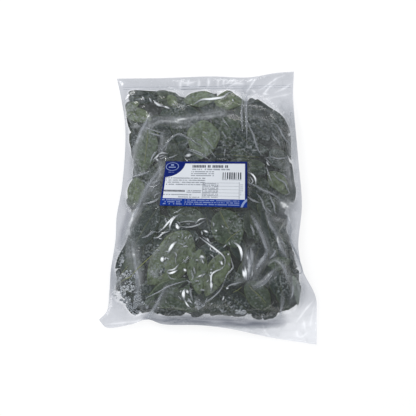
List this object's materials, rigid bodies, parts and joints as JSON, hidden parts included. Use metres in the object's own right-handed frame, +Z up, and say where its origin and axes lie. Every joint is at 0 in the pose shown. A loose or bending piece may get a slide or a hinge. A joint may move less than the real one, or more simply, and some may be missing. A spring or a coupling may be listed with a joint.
{
  "type": "bag of frozen kaffir lime leaves",
  "caption": "Clear heat-sealed film bag packed with frozen lime leaves, lying flat, with a stuck-on printed label and empty film margins round the heap.",
  "frame": {"origin": "middle of the bag's box on the surface that it lies on", "axes": "+Z up out of the shown face, +Y along the bag to its heat-sealed end, +X across it"},
  "size_m": [0.2792, 0.3498, 0.0391],
  "materials": {
    "film": "clear glossy film, milky where it stands off the leaves",
    "label": "satin printed sticker, pale panel in a blue border",
    "leaf": "frozen dark green leaf, waxy upper side and paler underside",
    "stem": "yellow-green twig and leaf stalk",
    "frost": "loose ice crystals and frost"
  },
  "bodies": {
    "root": {"bag": "film", "label": "label"}
  },
  "joints": []
}
